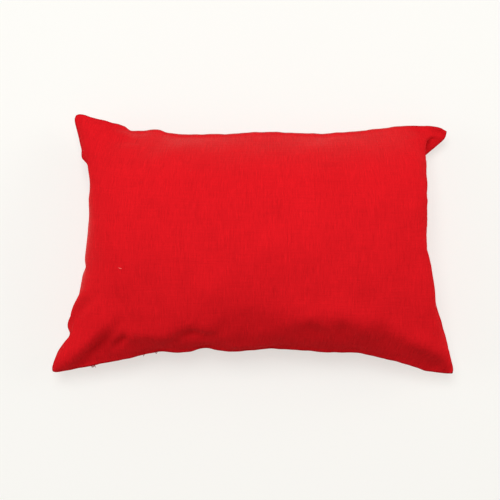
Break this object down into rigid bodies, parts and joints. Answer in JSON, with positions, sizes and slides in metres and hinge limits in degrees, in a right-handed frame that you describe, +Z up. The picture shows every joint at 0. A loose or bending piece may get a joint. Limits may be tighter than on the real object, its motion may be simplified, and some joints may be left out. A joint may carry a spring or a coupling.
{
  "type": "lumbar pillow",
  "caption": "Plump rectangular lumbar pillow with a plain knife edge and soft drawn-out corners, in plain red slub-woven cloth.",
  "frame": {"origin": "on the surface the pillow lies on, under the middle of its bounding box", "axes": "+X along the long side, +Y from the near long side, whose two corners reach further out, to the far one, +Z up through the crown"},
  "size_m": [0.5378, 0.3486, 0.1553],
  "materials": {
    "slub_cloth": "matt plain weave with slub threads"
  },
  "bodies": {
    "root": {"pillow": "slub_cloth"}
  },
  "joints": []
}
